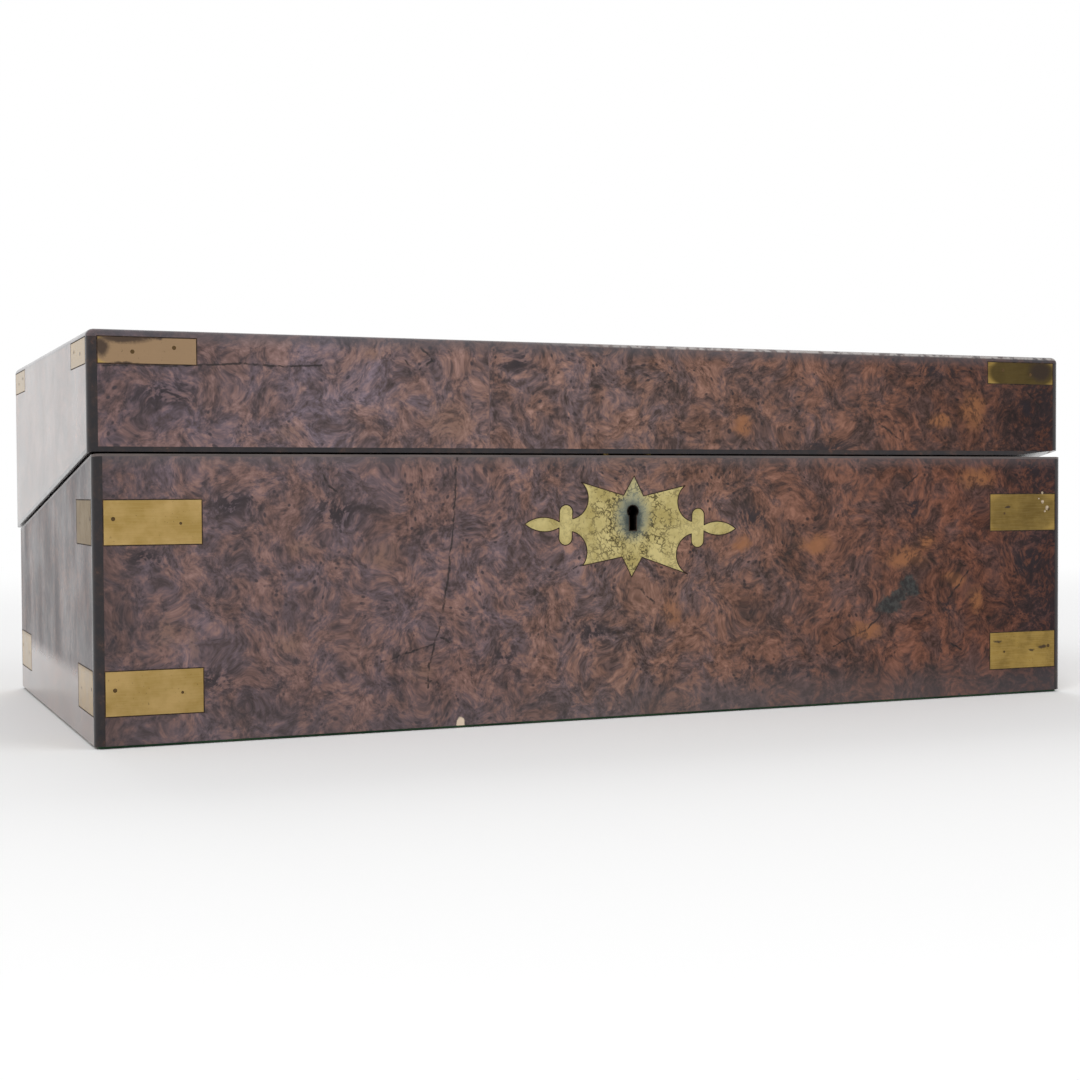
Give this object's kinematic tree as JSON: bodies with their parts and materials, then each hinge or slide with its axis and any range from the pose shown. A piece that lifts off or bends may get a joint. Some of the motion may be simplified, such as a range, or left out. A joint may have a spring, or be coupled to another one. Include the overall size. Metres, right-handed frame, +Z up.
{
  "type": "writing slope",
  "caption": "Veneered writing box whose lid opens flat along a sloping split, with hinged leather flaps, pen tray, inkwells and inlaid brass straps.",
  "frame": {"origin": "middle of the underside, where the box stands", "axes": "+X to the right along the lock side, +Y from the lock side to the hinges, +Z up"},
  "size_m": [0.4715, 0.2472, 0.165],
  "materials": {
    "carcass_wood": "bare mahogany, waxed",
    "burr_veneer": "burr walnut veneer, french polished",
    "dark_moulding": "ebonised edging, polished",
    "rim_facing": "walnut facing, polished",
    "interior_wood": "polished mahogany",
    "brass": "aged brass, rubbed",
    "steel": "dull steel",
    "writing_leather": "dark green tooled leather",
    "baize": "dark green baize",
    "glass": "clear moulded glass"
  },
  "bodies": {
    "base": {"base_back_board": "carcass_wood", "base_back_veneer": "burr_veneer", "base_corner_mouldings": "dark_moulding", "base_floor": "carcass_wood", "base_front_board": "carcass_wood", "base_front_veneer": "burr_veneer", "base_left_board": "carcass_wood", "base_left_veneer": "burr_veneer", "base_right_board": "carcass_wood", "base_right_veneer": "burr_veneer", "base_rim_facings": "rim_facing", "base_straps": "brass", "escutcheon": "brass", "hinge_base_leaves": "brass", "hinge_pins": "brass", "ink_dividers": "interior_wood", "left_inkwell": "glass", "lock_cap": "brass", "lock_case": "brass", "pen_tray": "interior_wood", "right_inkwell": "glass", "section_partition": "interior_wood", "section_shelf": "interior_wood", "tray_bearers": "interior_wood", "underside_baize": "baize", "upper_flap_fixed_leaves": "brass", "upper_flap_ledges": "interior_wood"},
    "lid": {"hinge_lid_leaves": "brass", "lid_back_board": "carcass_wood", "lid_back_veneer": "burr_veneer", "lid_corner_mouldings": "dark_moulding", "lid_front_board": "carcass_wood", "lid_front_veneer": "burr_veneer", "lid_left_board": "carcass_wood", "lid_left_veneer": "burr_veneer", "lid_right_board": "carcass_wood", "lid_right_veneer": "burr_veneer", "lid_rim_facings": "rim_facing", "lid_straps": "brass", "lid_top_board": "carcass_wood", "lid_top_moulding": "dark_moulding", "lid_top_veneer": "burr_veneer", "link_plate": "brass", "lower_flap_fixed_leaves": "brass", "lower_flap_ledges": "interior_wood"},
    "upper_flap": {"upper_flap_board": "interior_wood", "upper_flap_leather": "writing_leather", "upper_flap_moving_leaves": "brass"},
    "lower_flap": {"lower_flap_board": "interior_wood", "lower_flap_leather": "writing_leather", "lower_flap_moving_leaves": "brass"},
    "lock_bolt": {"lock_bolt": "steel"},
    "left_cap": {"left_inkwell_cap": "brass"},
    "right_cap": {"right_inkwell_cap": "brass"}
  },
  "joints": [
    {"name": "lid_hinge", "type": "hinge", "parent": "base", "child": "lid", "pos_m": [0, 0.1225, 0.0825], "axis": [-1, 0, 0], "range_deg": [0, 180]},
    {"name": "upper_flap_hinge", "type": "hinge", "parent": "base", "child": "upper_flap", "pos_m": [0, 0.1082, 0.08186], "axis": [-1, 0, 0], "range_deg": [0, 90]},
    {"name": "lower_flap_hinge", "type": "hinge", "parent": "lid", "child": "lower_flap", "pos_m": [0, 0.1082, 0.08711], "axis": [1, 0, 0], "range_deg": [0, 90]},
    {"name": "lock_bolt_slide", "type": "slide", "parent": "base", "child": "lock_bolt", "axis": [1, 0, 0], "range_m": [0, 0.005]},
    {"name": "left_cap_screw", "type": "hinge", "parent": "base", "child": "left_cap", "pos_m": [-0.198, -0.086, 0.09], "axis": [0, 0, 1], "range_deg": [0, 450]},
    {"name": "right_cap_screw", "type": "hinge", "parent": "base", "child": "right_cap", "pos_m": [0.198, -0.086, 0.09], "axis": [0, 0, 1], "range_deg": [0, 450]}
  ],
  "couplings": [
    {"joint": "upper_flap_hinge", "follows": "lid_hinge", "ratio": 0.4},
    {"joint": "lower_flap_hinge", "follows": "lid_hinge", "ratio": 0.4}
  ]
}
